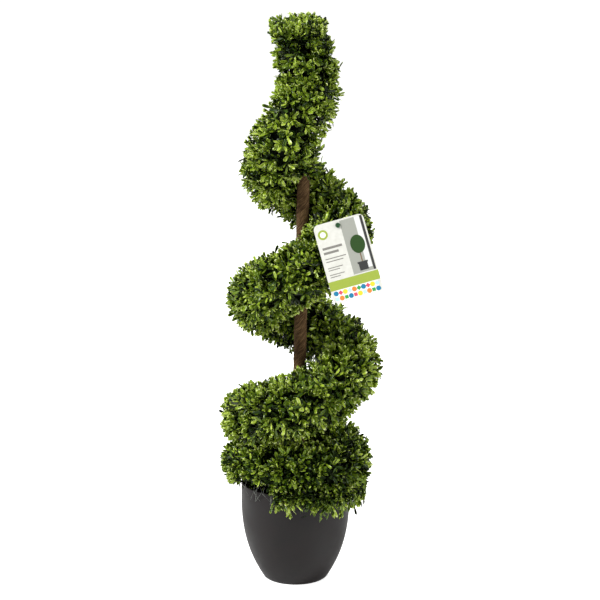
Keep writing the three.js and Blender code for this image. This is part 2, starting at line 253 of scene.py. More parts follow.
# %% Planter
PLANTER = {"height": 179, "rim": 96.5, "belly": 97, "belly_height": 150, "foot": 57, "curve": 2.45}
WALL, FLOOR, EDGE = 3, 4, 1.2
PLANTER_SIDES = 128
FOOT_RINGS, INSIDE_RING = (12, 30), 20  # how far the flat ends are cut into rings


def planter_radius(z):
    """Outer radius of the planter at a height, in millimetres."""
    if z > PLANTER["belly_height"]:
        share = (z - PLANTER["belly_height"]) / (PLANTER["height"] - PLANTER["belly_height"])
        return PLANTER["belly"] + (PLANTER["rim"] - PLANTER["belly"]) * share
    fall = ((PLANTER["belly_height"] - z) / PLANTER["belly_height"]) ** PLANTER["curve"]
    return PLANTER["belly"] - (PLANTER["belly"] - PLANTER["foot"]) * fall


def arc(radius, height, size, angles):
    """Radii and heights along a round edge of a size, at angles up from the outside."""
    turns = [math.radians(a) for a in angles]
    return [(radius + size * math.cos(a), height + size * math.sin(a)) for a in turns]


def start_ring(radius, z=0):
    """A filled circle of the planter's sides, in edit mode with all of it selected."""
    deselect()
    bpy.ops.mesh.primitive_circle_add(
        vertices=PLANTER_SIDES, radius=radius * MM, fill_type="NGON", location=(0, 0, z * MM)
    )
    edit_all()


def draw_up(levels):
    """Extrudes the selected ring from the first level's radius and height on to each next one."""
    for (radius, height), (next_radius, next_height) in zip(levels, levels[1:]):
        rise = (0, 0, (next_height - height) * MM)
        bpy.ops.mesh.extrude_region_move(TRANSFORM_OT_translate={"value": rise})
        share = next_radius / radius
        bpy.ops.transform.resize(value=(share, share, 1))


half = WALL / 2
foot_edge = arc(PLANTER["foot"] - EDGE, EDGE, EDGE, (-90, -60, -30))
rounded_rim = arc(PLANTER["rim"] - half, PLANTER["height"] - half, half, range(0, 181, 30))
outside = [(planter_radius(z), z) for z in np.linspace(EDGE, PLANTER["belly_height"], 26)]
inside = [(planter_radius(z) - WALL, z) for z in np.linspace(PLANTER["belly_height"], FLOOR, 16)]
levels = [*foot_edge, *outside, *rounded_rim, *inside]

start_ring(levels[0][0])
for ring in FOOT_RINGS:
    bpy.ops.mesh.inset(thickness=ring * MM)
bpy.ops.mesh.select_all(action="DESELECT")
bpy.ops.mesh.select_mode(type="EDGE")
bpy.ops.mesh.select_non_manifold()
draw_up(levels)
bpy.ops.mesh.edge_face_add()
bpy.ops.mesh.inset(thickness=INSIDE_RING * MM)
face_outwards()
planter = named("moulded_planter")
bpy.ops.object.shade_smooth_by_angle(angle=math.radians(40))
said(planter)

# %% [markdown]
# The planter's plastic is polypropylene, coloured through in charcoal. Its mould was lightly spark
# eroded, which leaves a grain of some tenths of a millimetre, so its gloss is broken into a satin
# sheen. The grain is drawn at 0.9 mm, as coarse as it needs to show. Handling leaves faint cloudy
# patches where the sheen is a little stronger.

# %% Planter plastic
plastic, shader = finish("moulded_polypropylene", "#130F0F", IOR=1.49, Roughness=0.46,
                         Specular_IOR_Level=0.33)
clouds = mottle(plastic, 45, detail=3.0)
colour_by(plastic, shader, clouds, (0.3, "#100C0C"), (0.7, "#191313"))
sheen = add(plastic, "ShaderNodeMapRange",
            {"From Min": 0.3, "From Max": 0.7, "To Min": 0.4, "To Max": 0.54}, {"Value": clouds})
drive(plastic, shader, "Roughness", sheen.outputs["Result"])
roughen(plastic, shader, mottle(plastic, 0.9), strength=0.25, depth=0.1)
planter.data.materials.append(plastic)
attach(planter, "root")
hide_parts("planter")

# %% [markdown]
# ## Filling
#
# A grey mortar is poured round the pole's foot to make the planter heavy. It sets with an uneven
# top that shows only as a dark ground between the lowest leaves. It is drawn up as the planter is,
# then its top is cut into rings, and each corner there is sunk by a smooth noise, as a trowel and
# some bubbles would leave it.

# %% Filling
FILLING_TOP = 150
ROUND_IN, ROUND_UP = 1.5, 2  # the rounding of its top edge
TOP_RINGS, RING_WIDTH = 13, 5
WIDE_PITS, NARROW_PITS, PIT_DEPTH = 14, 5, 1.6
CLEARANCE = 0.3
filling_levels = [
    (planter_radius(z) - WALL - CLEARANCE, z)
    for z in [FLOOR + CLEARANCE, *np.linspace(12, FILLING_TOP - ROUND_UP, 12)]
]
start_ring(*filling_levels[0])
bpy.ops.mesh.select_mode(type="EDGE")
bpy.ops.mesh.select_all(action="SELECT")
draw_up(filling_levels)
bpy.ops.mesh.select_mode(type="FACE")
bpy.ops.mesh.inset(thickness=ROUND_IN * MM)
bpy.ops.transform.translate(value=(0, 0, ROUND_UP * MM))
for _ in range(TOP_RINGS):
    bpy.ops.mesh.inset(thickness=RING_WIDTH * MM)
face_outwards()
filling = named("poured_filling")
for vertex in filling.data.vertices:
    if vertex.co.z > (FILLING_TOP - 0.5) * MM:
        wide = noise.noise(vertex.co / (WIDE_PITS * MM))
        narrow = noise.noise(vertex.co / (NARROW_PITS * MM))
        vertex.co.z += min(0.0, wide + 0.5 * narrow - 0.5) * PIT_DEPTH * MM
bpy.ops.object.shade_smooth_by_angle(angle=math.radians(35))
said(filling)

# %% Filling mortar
# Set cement with sharp sand: quite matt, and mottled by its grains.
mortar, shader = finish("set_mortar", "#3A3733", Roughness=0.95)
grit = mottle(mortar, 3, detail=4.0)
colour_by(mortar, shader, grit, (0.3, "#24211F"), (0.7, "#4A453F"))
roughen(mortar, shader, grit, strength=0.8, depth=0.6)
filling.data.materials.append(mortar)
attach(filling, "root")
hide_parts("filling")

# %% [markdown]
# ## Pole
#
# The pole is a slim stem wrapped in a coarse brown fibre, with the look of stripped bark: short
# fibres that wind round it at a slant which changes from place to place, and peel here and there.
# The relief has to be in the mesh, because the pole shows against a white ground and its edge would
# otherwise be a ruled line. A cylinder is added at its size, cut into fine rings in edit mode, and
# each corner is then moved along its radius. The pattern is read in twisted coordinates, where a
# fibre is upright, so a stretched noise gives the winding.

# %% Pole
POLE_HEIGHTS, POLE_RADII = (20, 700, 930), (11.9, 11.1, 8)  # at its foot, neck and tip
POLE_FOOT, _, POLE_TIP = POLE_HEIGHTS
NECK_RADIUS = POLE_RADII[1]
POLE_SIDES = 72
RING_STEP = 2.4
FIBRE_TWIST = -0.9  # how far a fibre runs round the pole for each millimetre up
FIBRE_STRETCH = 9  # how much longer a fibre is than wide
WANDER, WANDER_STEP = 5, 34  # how far the slant wanders, and in what length
FIBRE_HEIGHT, PEEL_HEIGHT, BARK_SUNK = 0.3, 1.3, 0.35


def fibre_place(angle, z):
    """The place in twisted millimetres at which the bark's pattern is read."""
    around = Vector((math.cos(angle), math.sin(angle), z / WANDER_STEP))
    turned = angle + (FIBRE_TWIST * z + WANDER * noise.noise(around)) / NECK_RADIUS
    x, y = math.cos(turned) * NECK_RADIUS, math.sin(turned) * NECK_RADIUS
    return Vector((x, y, z / FIBRE_STRETCH))


def bark_relief(angle, z):
    """How far the bark stands in or out of the pole's radius, in millimetres."""
    at = fibre_place(angle, z)
    fibres = noise.noise(at / 1.1)
    strips = noise.noise(at / 1.7 + Vector((7, 3, 11)))
    peel = max(0.0, noise.noise(Vector((at.x / 5, at.y / 5, z / 31)) + Vector((1, 5, 2))) - 0.15)
    return FIBRE_HEIGHT * fibres + FIBRE_HEIGHT * strips + PEEL_HEIGHT * peel - BARK_SUNK


deselect()
length = POLE_TIP - POLE_FOOT
bpy.ops.mesh.primitive_cylinder_add(
    vertices=POLE_SIDES,
    radius=POLE_RADII[0] * MM,
    depth=length * MM,
    end_fill_type="TRIFAN",
    location=(0, 0, (POLE_FOOT + length / 2) * MM),
)
pole = named("bark_pole")
bpy.ops.object.mode_set(mode="EDIT")
bpy.ops.mesh.select_mode(type="EDGE")
bpy.ops.mesh.select_all(action="DESELECT")
bpy.ops.object.mode_set(mode="OBJECT")
for edge in pole.data.edges:
    a, b = (pole.data.vertices[i].co for i in edge.vertices)
    edge.select = abs(a.z - b.z) > 0.5 * length * MM
bpy.ops.object.mode_set(mode="EDIT")
bpy.ops.mesh.subdivide_edgering(number_cuts=int(length / RING_STEP), interpolation="LINEAR")
bpy.ops.object.mode_set(mode="OBJECT")
fibre = pole.data.attributes.new("fibre", "FLOAT_VECTOR", "POINT")
for index, vertex in enumerate(pole.data.vertices):
    z = vertex.co.z / MM
    angle = math.atan2(vertex.co.y, vertex.co.x)
    fibre.data[index].vector = fibre_place(angle, z) * MM
    if math.hypot(vertex.co.x, vertex.co.y) > 1 * MM:
        radius = (np.interp(z, POLE_HEIGHTS, POLE_RADII) + bark_relief(angle, z)) * MM
        vertex.co.x = radius * math.cos(angle)
        vertex.co.y = radius * math.sin(angle)
    vertex.co.x += LEAN * z * MM
only(pole)
bpy.ops.object.shade_smooth_by_angle(angle=math.radians(50))
said(pole)

# %% [markdown]
# The bark's colour runs along the same fibres: dark where they part, tan where they stand out and
# have been rubbed. The material reads the twisted coordinates that the mesh carries as an
# attribute, so colour and relief follow one slant. Bark scatters light all ways, so it is rough.

# %% Bark
bark, shader = finish("fibrous_bark", "#4B341A", Roughness=0.85, Specular_IOR_Level=0.15)
twisted = add(bark, "ShaderNodeAttribute", attribute_name="fibre").outputs["Vector"]
strips = mottle(bark, 1.7, detail=4.0, place=twisted, Roughness=0.6)
fibres = mottle(bark, 0.8, place=twisted)
mixed = add(bark, "ShaderNodeMath", {1: 0.45}, {0: fibres}, operation="MULTIPLY")
total = add(bark, "ShaderNodeMath", {1: 0.6}, {0: strips, 2: mixed.outputs[0]},
            operation="MULTIPLY_ADD")
colour_by(bark, shader, total.outputs[0], (0.36, "#2E1F10"), (0.5, "#46321D"), (0.64, "#7E6445"))
roughen(bark, shader, fibres, strength=0.7, depth=0.5)
pole.data.materials.append(bark)
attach(pole, "root")
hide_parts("pole")

# %% [markdown]
# ## The strand's path
#
# The whole plant follows one line, the middle of the winding strand. It is given at a few stations,
# as turns wound, height, reach from the pole, radius out to the leaf tips and radius of its dense
# middle, and is smooth between them: a cubic that leaves each station with the average slope of its
# two neighbours. All places along it are worked out together, as arrays, because the leaves need
# many thousands of them.

# %% The strand's path
STATIONS = np.array([
    [0.4, 200, 91, 50, 30],
    [0.62, 224, 84, 48, 31],
    [1, 215, 79, 54, 39],
    [1.5, 297, 83, 58, 42],
    [2, 396, 84, 60, 44],
    [2.5, 515, 72, 58, 43],
    [3, 634, 61, 60, 44],
    [3.2, 681, 57, 61, 45],
    [3.5, 753, 50, 58, 44],
    [3.66, 838, 25, 59, 44],
    [3.9, 886, 7, 58, 43],
    [4.4, 964, 5, 57, 43],
])
STATION_TURNS, STATION_VALUES = STATIONS[:, 0], STATIONS[:, 1:]
STRAND_START, STRAND_END = STATION_TURNS[0], STATION_TURNS[-1]
# Each mass is a quarter turn of the strand, named by its side, up to the turn at which it ends.
LEVELS, QUARTERS = ("base", "lower", "upper", "top"), ("left", "front", "right", "back")
MASSES = [
    (f"{level}_{quarter}", turn + (number + 2.5) / 4)
    for turn, level in enumerate(LEVELS) for number, quarter in enumerate(QUARTERS)
][:13] + [("top_front", 3.82), ("crown", 4.4)]


def strand_values(turn):
    """Height, reach, radius and radius of the dense middle of the strand at an array of turns."""
    slopes = np.diff(STATION_VALUES, axis=0) / np.diff(STATION_TURNS)[:, None]
    leaving = np.vstack([slopes[:1], (slopes[1:] + slopes[:-1]) / 2, slopes[-1:]])
    i = np.clip(np.searchsorted(STATION_TURNS, turn, "right") - 1, 0, len(STATION_TURNS) - 2)
    width = (STATION_TURNS[i + 1] - STATION_TURNS[i])[:, None]
    s = (turn[:, None] - STATION_TURNS[i][:, None]) / width
    return (
        (2 * s**3 - 3 * s**2 + 1) * STATION_VALUES[i]
        + (s**3 - 2 * s**2 + s) * width * leaving[i]
        + (3 * s**2 - 2 * s**3) * STATION_VALUES[i + 1]
        + (s**3 - s**2) * width * leaving[i + 1]
    )


def strand_middle(turn):
    """The middle of the strand at an array of turns, in millimetres, with its reach and radii."""
    height, reach, radius, core = strand_values(turn).T
    azimuth = 2 * np.pi * turn
    x = reach * np.cos(azimuth) + LEAN * height
    return np.stack([x, reach * np.sin(azimuth), height], 1), reach, radius, core


def unit(vectors):
    """Each row of an array at a length of one."""
    return vectors / np.linalg.norm(vectors, axis=1, keepdims=True)


def strand_frame(turn):
    """Middle, radius, run, out, up, speed and curvature of the strand at an array of turns."""
    step = 0.005
    middle, reach, radius, _ = strand_middle(turn)
    ahead = strand_middle(turn + step)[0] - strand_middle(turn - step)[0]
    speed = np.linalg.norm(ahead, axis=1) / (2 * step)
    run = unit(ahead)
    azimuth = 2 * np.pi * turn
    out = np.stack([np.cos(azimuth), np.sin(azimuth), 0 * azimuth], 1)
    out = unit(out - run * (out * run).sum(1, keepdims=True))
    curvature = (2 * np.pi * reach / speed) ** 2 / np.maximum(reach, 1)
    return middle, radius, run, out, np.cross(out, run), speed, curvature


waypoints = np.linspace(STRAND_START, STRAND_END, 500)
way_middle, _, way_radius, _ = strand_middle(waypoints)
strand_length = np.linalg.norm(np.diff(way_middle, axis=0), axis=1).sum()
print(f"the strand is {strand_length:.0f} mm long")

# %% [markdown]
# ## Backing mat
#
# Under the leaves lies a dark plastic mesh, rolled into a tube round the wire frame. It hardly
# shows, but every gap between leaves ends on it, so it gives the foliage its depth. It is a curve
# along the strand with a thick bevel, turned into a mesh, and each of its faces is then inset and
# pushed in, which leaves the ribs of a grid standing.

# %% Backing mat
MAT_SHARE = 0.72  # its radius as a share of the dense middle's
MAT_RADIUS = 30
MAT_STATIONS = 190
RIB_WIDTH, RIB_HEIGHT = 1.1, 1.6


def tube(name, radius, roundness, kind, count):
    """An empty curve with a round bevel, and its one spline with a count of points."""
    curve = bpy.data.curves.new(name, "CURVE")
    curve.dimensions = "3D"
    curve.bevel_depth = radius * MM
    curve.bevel_resolution = roundness
    curve.use_fill_caps = True
    line = curve.splines.new(kind)
    (line.points if kind == "POLY" else line.bezier_points).add(count - 1)
    piece = bpy.data.objects.new(name, curve)
    scene.collection.objects.link(piece)
    return only(piece), line


mat_turns = np.linspace(STRAND_START, STRAND_END, MAT_STATIONS)
mat_middle, _, _, mat_radius = strand_middle(mat_turns)
mat, line = tube("backing_mat", MAT_RADIUS, 5, "POLY", MAT_STATIONS)
for point, middle, radius in zip(line.points, mat_middle, mat_radius):
    point.co = (*(middle * MM), 1)
    point.radius = radius * MAT_SHARE / MAT_RADIUS
bpy.ops.object.convert(target="MESH")
mat = named("backing_mat")
edit_all()
bpy.ops.mesh.remove_doubles(threshold=0.01 * MM)
face_outwards()
bpy.ops.mesh.inset(thickness=RIB_WIDTH * MM, depth=-RIB_HEIGHT * MM, use_individual=True)
bpy.ops.object.mode_set(mode="OBJECT")
said(mat)

# %% Mat plastic
# Polyethylene mesh, moulded dull so that it disappears: nearly black, with a breath of green.
netting, shader = finish("dull_polyethylene_mesh", "#0F140C", IOR=1.51, Roughness=0.8,
                          Specular_IOR_Level=0.2)
colour_by(netting, shader, mottle(netting, 6), (0.35, "#090C07"), (0.7, "#171D11"))
mat.data.materials.append(netting)
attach(mat, "root")

# %% [markdown]
# ## One leaf
#
# A boxwood leaf is a small spoon: widest past its middle, round at the tip and hollow on its upper
# side, with a paler rim, which is partly a painted highlight. It is repeated some forty thousand
# times, so it may have only a few faces.
# A flat cone with seven sides and a fan for its base has just what is needed: an outline, a corner
# above it and one below. The outline is narrowed towards the foot, and both middle corners are sunk
# to hollow it. Leaves towards the tips of the sprigs are seen best, so a second kind also has the
# rim: the upper faces are extruded and drawn in, which leaves a ring of faces for it.

# %% One leaf
LEAF_LENGTH, LEAF_WIDTH = 17.5, 5.9
LEAF_SIDES = 7
OUTLINE = [(0.02, 0.1), (0.46, 0.38), (0.84, 0.42)]  # pairs of corners: place, half of the width
LEAF_MIDDLE = 0.58 * LEAF_LENGTH
HOLLOW, UNDERSIDE = -1.25, -1.75  # heights of the two middle corners
RIM_DRAWN_IN = (0.7, 0.84, 1)


def choose(piece, kind, test):
    """Selects the corners or the faces of the piece that pass a test, in edit mode."""
    bpy.ops.object.mode_set(mode="EDIT")
    bpy.ops.mesh.select_mode(type=kind)
    bpy.ops.mesh.select_all(action="DESELECT")
    bpy.ops.object.mode_set(mode="OBJECT")
    for part in piece.data.vertices if kind == "VERT" else piece.data.polygons:
        part.select = test(part)
    bpy.ops.object.mode_set(mode="EDIT")


def model_leaf(rimmed):
    """Corners and faces of a leaf, and the part of each face: 0 hollow, 1 rim, 2 underside."""
    deselect()
    bpy.ops.mesh.primitive_cone_add(
        vertices=LEAF_SIDES, radius1=1, radius2=0, depth=0.1, end_fill_type="TRIFAN"
    )
    leaf = named("leaf")
    right = sorted((v.co.y, v.co.x) for v in leaf.data.vertices if v.co.x > 0.01)
    for (y, half), (place, new_half) in zip(right, OUTLINE):
        choose(leaf, "VERT", lambda v: abs(v.co.x) > 0.01 and abs(v.co.y - y) < 0.01)
        bpy.ops.transform.resize(value=(2 * new_half / half, 1, 1), center_override=(0, 0, 0))
        bpy.ops.transform.translate(value=(0, 2 * place - 1 - y, 0))
    bpy.ops.mesh.select_all(action="SELECT")
    bpy.ops.transform.translate(value=(0, 1, 0))
    half_size = (0.5 * LEAF_WIDTH, 0.5 * LEAF_LENGTH, 1)
    bpy.ops.transform.resize(value=half_size, center_override=(0, 0, 0))
    if rimmed:
        bpy.ops.object.mode_set(mode="OBJECT")
        choose(leaf, "FACE", lambda face: face.normal.z > 0)
        bpy.ops.mesh.extrude_region_move(TRANSFORM_OT_translate={"value": (0, 0, -0.5)})
        bpy.ops.transform.resize(value=RIM_DRAWN_IN, center_override=(0, LEAF_MIDDLE, 0))
        bpy.ops.mesh.select_all(action="SELECT")
        bpy.ops.mesh.quads_convert_to_tris()
    bpy.ops.object.mode_set(mode="OBJECT")
    corners = np.array([v.co for v in leaf.data.vertices])
    faces = np.array([p.vertices for p in leaf.data.polygons])
    bpy.data.objects.remove(leaf)
    on_axis = [i for i in range(len(corners)) if (faces == i).sum() == LEAF_SIDES]
    fans = [i for i in on_axis if 1 < corners[i, 1] < LEAF_LENGTH - 1 and abs(corners[i, 0]) < 0.01]
    under, hollow = sorted(fans, key=lambda i: abs(corners[i, 2] + 0.05))
    corners[hollow, 1:] = LEAF_MIDDLE, HOLLOW
    corners[under, 1:] = LEAF_MIDDLE, UNDERSIDE
    parts = np.where((faces == hollow).any(1), 0, np.where((faces == under).any(1), 2, 1))
    return corners, faces, parts


LEAVES = {"plain": model_leaf(False), "rimmed": model_leaf(True)}
for kind, (corners, faces, _) in LEAVES.items():
    print(f"a {kind} leaf has {len(corners)} corners and {len(faces)} faces")

# %% [markdown]
# ## Where the sprigs stand
#
# The rule is the CAD model's, carried finer. Sprigs follow one another along the strand, each
# turned by the golden angle from the last, which spreads them evenly with no rows. On a bend the
# outside is longer than the inside, so the angle is eased towards it. The ends of the strand are
# closed by sprigs on its end faces, and a collar of them fills the level top. A fringe hangs over
# the planter's rim in front and on the right, more sprigs stand out beside the tag, and a few short
# ones grow in front of the pole where the strand leaves it.

# %% Where the sprigs stand
# Angles are in degrees round the pole, and shares are of the strand's radius. A pair is the least
# and what chance may add to it.
TOP = 1011
GOLDEN = math.pi * (3 - math.sqrt(5))
SPRIGS_PER_MM = 1.4
ROOT_SHARE, TIP_SHARE = 0.42, 0.79
SIDE_SWAY, SWAY, POLE_SWAY, FRINGE_SWAY = 0.5, 0.4, 0.3, 0.15
FRINGE = {"from": -112, "to": 28, "bottom": 131, "inner": 99.5, "outer": 128}
FRINGE_LOBES = [(-92, 30, 0.35), (0, 22, 0.2)]  # where it hangs lowest: angle, width, how much
POLE_SPRAY = {"from": 726, "to": 768, "top": 808, "reach": 42}
RIM_VIEW = {"from": -163, "to": -118, "bottom": 200}  # here the rim shows under the strand
SKIRT_BOTTOM = 160
SHOULDER = {"from": 935, "full": 975, "shorter": 0.25, "right": 50, "slope": 0.3, "ripple": 4}
RIPPLES = (2.6, 6.1)  # the steps of its ripple
chance = np.random.default_rng(26)


def drawn(pair, count):
    """A count of values from a pair's first up to its sum, by chance."""
    return pair[0] + pair[1] * chance.random(count)


def towards(first, second, angle):
    """Directions at an angle from the first towards the second, which is square to it."""
    return first * np.cos(angle)[:, None] + second * np.sin(angle)[:, None]


def even_angle(spin, crowding):
    """The angle across the strand that spreads sprigs evenly round a bend."""
    angle = spin.copy()
    for _ in range(8):
        error = angle + crowding * np.sin(angle) - spin
        angle -= error / (1 + crowding * np.cos(angle))
    return angle


def swayed(direction, share):
    """Directions tilted by up to a share of their own length, by chance."""
    return unit(direction + share * 2 * (chance.random(direction.shape) - 0.5))


def side_sprigs(start, end):
    """Roots, directions and lengths of the sprigs round the strand's side between two turns."""
    speed = strand_frame(np.array([(start + end) / 2]))[5][0]
    count = round(speed * (end - start) * SPRIGS_PER_MM)
    number = np.arange(count)
    turn = start + (end - start) * (number + 0.5) / count
    middle, radius, _, out, up, _, curvature = strand_frame(turn)
    angle = even_angle((number * GOLDEN) % (2 * np.pi), np.minimum(0.75, curvature * radius))
    away = towards(out, up, angle)
    root = middle + away * (radius * ROOT_SHARE)[:, None]
    return root, swayed(away, SIDE_SWAY), radius * (TIP_SHARE - ROOT_SHARE)


def end_sprigs(turn, onward, count=110, disc=0.66, sunk=6, splay=0.9, reach=(0.46, 0.34)):
    """The same for the sprigs that close an end of the strand, in an onward direction."""
    number = np.arange(count)
    middle, radius, _, out, _, _, _ = strand_frame(np.full(count, turn))
    out = unit(out - onward * (out @ onward)[:, None])
    off = radius * disc * np.sqrt((number + 0.1) / count)
    away = towards(out, np.cross(onward, out), number * GOLDEN)
    root = middle + away * off[:, None] - onward * sunk
    along = onward + away * (splay * off / radius)[:, None]
    return root, swayed(along, SWAY), radius * drawn(reach, count)


def collar_sprigs(rise=26, lift=0.1, more_lift=0.5, lower_right=0.4):
    """The same for the sprigs round the level top, above the end of the strand."""
    count = round(rise * SPRIGS_PER_MM)
    number = np.arange(count)
    middle, radius, _, _, _, _, _ = strand_frame(np.full(count, STRAND_END))
    angle = number * GOLDEN
    away = np.stack([np.cos(angle), np.sin(angle), 0 * angle], 1)
    root = middle + away * (radius * ROOT_SHARE)[:, None]
    root[:, 2] += rise * (number + 0.5) / count
    along = away + np.array([0, 0, 1.0]) * (lift + more_lift * (number / count))[:, None]
    shorter = 1 - lower_right * np.maximum(0, np.cos(angle))
    return root, swayed(unit(along), SWAY), radius * (TIP_SHARE - ROOT_SHARE) * shorter


def fringe_sprigs(count=105, rooted=(0.3, 0.25), sunk=0.2, outwards=(0.15, 0.5),
                  reach=(0.56, 0.54), least=0.9):
    """The same for the sprigs that hang over the planter's rim, and their turns."""
    number = np.arange(count)
    turn = 1 + (FRINGE["from"] + (FRINGE["to"] - FRINGE["from"]) * (number + 0.5) / count) / 360
    middle, radius, _, out, _, _, _ = strand_frame(turn)
    root = middle + out * (radius * drawn(rooted, count))[:, None]
    root[:, 2] -= radius * sunk
    along = np.array([0, 0, -1.0]) + out * drawn(outwards, count)[:, None]
    lower = np.full(count, least)
    for lobe, width, more in FRINGE_LOBES:
        lower += more * np.exp(-(((360 * (turn - 1) - lobe) / width) ** 2))
    length = radius * drawn(reach, count) * lower
    return root, swayed(along, FRINGE_SWAY), length, turn


def beside_tag_sprigs(count=46, turns=(2.9, 0.16), fan=1.5, rooted=0.55, reach=(0.42, 0.1)):
    """The same for the sprigs that stand out of the strand to the right of the tag."""
    middle, radius, _, out, up, _, _ = strand_frame(drawn(turns, count))
    away = towards(out, up, fan * (chance.random(count) - 0.45))
    root = middle + away * (radius * rooted)[:, None]
    return root, swayed(away, SWAY), radius * drawn(reach, count)


def pole_sprigs(count=22, width=12, front=-14.0, lift=(0.6, 0.5), reach=(14, 12)):
    """The same for the few that grow at the pole under the top of the strand, over the bark."""
    height = drawn((POLE_SPRAY["from"], POLE_SPRAY["to"] - POLE_SPRAY["from"]), count)
    aside = chance.random(count) - 0.5
    root = np.stack([LEAN * height + width * aside, np.full(count, front), height], 1)
    along = np.stack([1.3 * aside, np.full(count, -0.5), drawn(lift, count)], 1)
    return root, swayed(unit(along), POLE_SWAY), drawn(reach, count)


# %% [markdown]
# ## What a leaf keeps clear of
#
# A leaf is left out where it would leave the plant's own space, stand inside the pole or the
# planter's wall, or cover the card. Each test is an array of yes and no, one for each leaf. The
# top's right shoulder is cut along a slope with a ripple in it, so that it doesn't look sawn.


# %% What a leaf keeps clear of
TAG = {"width": 88, "height": 138, "thickness": 0.8, "middle": (90, -112, 610)}
TAG_ROLL, TAG_LEAN = 15.5, 18
SPACE_SHARE = 1.12  # how far a leaf may reach, as a share of the strand's radius
POLE_CLEAR, WALL_CLEAR, CARD_CLEAR = 12.6, 0.8, 1
CARD_VIEW = (-1.2, 70)  # heights over the card between which nothing covers it
FRINGE_TOP = PLANTER["height"] + 30
AT_ONCE = 4000
card_matrix = (
    Matrix.Translation(TAG["middle"])
    @ Matrix.Rotation(math.radians(90 - TAG_LEAN), 4, "X")
    @ Matrix.Rotation(math.radians(TAG_ROLL), 4, "Z")
)
to_card = np.array(card_matrix.inverted())


def in_fringe(points):
    """Whether each point lies in the fringe over the planter's rim."""
    azimuth = np.degrees(np.arctan2(points[:, 1], points[:, 0]))
    reach = np.hypot(points[:, 0], points[:, 1])
    round_it = (azimuth > FRINGE["from"]) & (azimuth < FRINGE["to"])
    return round_it & (reach > FRINGE["inner"]) & (reach < FRINGE["outer"])


def clear(points):
    """Whether each point keeps to the plant's space and off the other pieces."""
    x, y, z = points.T
    azimuth = np.degrees(np.arctan2(y, x))
    rim_view = (azimuth > RIM_VIEW["from"]) & (azimuth < RIM_VIEW["to"])
    fringe = in_fringe(points)
    lowest = np.where(fringe, FRINGE["bottom"], SKIRT_BOTTOM)
    lowest = np.where(rim_view, RIM_VIEW["bottom"], lowest)
    share = np.full(len(points), np.inf)
    for start in range(0, len(points), AT_ONCE):
        part = points[start : start + AT_ONCE]
        away = np.linalg.norm(part[:, None] - way_middle[None], axis=2) / way_radius
        share[start : start + AT_ONCE] = away.min(1)
    # Above the strand's end, where the top is clipped level, only the distance to the side counts.
    aside = np.hypot(x - way_middle[-1, 0], y - way_middle[-1, 1])
    share = np.where(z > way_middle[-1, 2], aside / way_radius[-1], share)
    from_pole = np.hypot(x - LEAN * z, y)
    spray = (z > POLE_SPRAY["from"]) & (z < POLE_SPRAY["top"])
    spray &= from_pole < POLE_SPRAY["reach"]
    in_space = (share < SPACE_SHARE) | (fringe & (z < FRINGE_TOP)) | spray
    off_pole = (from_pole > POLE_CLEAR) | (z > POLE_TIP + 1)
    reach = np.hypot(x, y)
    wall = (z < PLANTER["height"] + 0.5) & (reach < PLANTER["belly"] + WALL_CLEAR)
    wall &= reach > PLANTER["rim"] - WALL - WALL_CLEAR
    card = points @ to_card[:3, :3].T + to_card[:3, 3]
    covers = np.abs(card[:, 0]) < TAG["width"] / 2 + CARD_CLEAR
    covers &= np.abs(card[:, 1]) < TAG["height"] / 2 + CARD_CLEAR
    covers &= (card[:, 2] > CARD_VIEW[0]) & (card[:, 2] < CARD_VIEW[1])
    ripple = SHOULDER["ripple"] * (np.sin(z / RIPPLES[0]) + np.sin(z / RIPPLES[1] + 1))
    edge = SHOULDER["right"] + SHOULDER["slope"] * (TOP - z) + ripple
    shoulder = (z > SHOULDER["from"]) & (x > edge)
    return (z < TOP) & (z > lowest) & in_space & off_pole & ~wall & ~covers & ~shoulder


# %% [markdown]
# ## Leaf and twig plastics
#
# The leaves are moulded polyethylene with a waxy gloss. Mats are assembled from sprigs of several
# batches: the leaves at the tip are a light yellow green, like new growth, the ones below are mid
# green, and the lowest nearly black green, partly as painted shade deep in the foliage. A rim is
# one step paler than the rest of its leaf, partly a paler margin and partly a painted highlight,
# and a few sprigs are a dull grey green all over. The colours have a place on each sprig, so they
# are plain base colours dealt out by whorl and by sprig, three tones for each. The lowest turn of
# the plant has more old sprigs, as painted shade under the turns above, and the part under the top
# more young ones, as painted light where the top is lit from above.

# %% Leaf plastics
LEAF_TONES = [  # from the palest down: roughness, gloss and three tones each
    # The rim row is partly a paler moulded margin and partly a painted highlight along the leaf's
    # edge.
    ("rim", 0.26, 0.5, "#D6E68A", "#E6F0A6", "#C4D66E"),
    ("tip", 0.26, 0.5, "#9DB631", "#B2C947", "#88A224"),
    ("young", 0.3, 0.42, "#587110", "#678217", "#4A620C"),
    ("grown", 0.36, 0.25, "#273E08", "#334B0B", "#1E3306"),
    # The old row is partly the darkest batch and partly painted shade deep inside the foliage.
    ("old_and_shaded", 0.5, 0.1, "#111D04", "#182706", "#0C1503"),
    ("dull", 0.42, 0.35, "#2C3622", "#39432D", "#22291A"),
]
leaf_plastics = [
    finish(f"waxy_polyethylene_{age}_{number}", tone, IOR=1.51, Roughness=rough,
           Specular_IOR_Level=gloss)[0]
    for age, rough, gloss, *tones in LEAF_TONES for number, tone in enumerate(tones, 1)
]
# The stalks are the same plastic, matt from a rougher mould and a brownish green.
stalk_plastic = finish("stalk_polyethylene", "#2C3A16", IOR=1.51, Roughness=0.6)[0]
print(len(leaf_plastics), "leaf plastics")

# %% [markdown]
# ## Sprigs
#
# Each sprig is a three-sided stalk with whorls of four leaves, turned an eighth of a circle from
# one whorl to the next and opening wider down the stalk. All sprigs of a mass are worked out
# together: the leaf's corners are multiplied by a small matrix for each leaf, which takes a moment
# where forty thousand operators would take minutes.

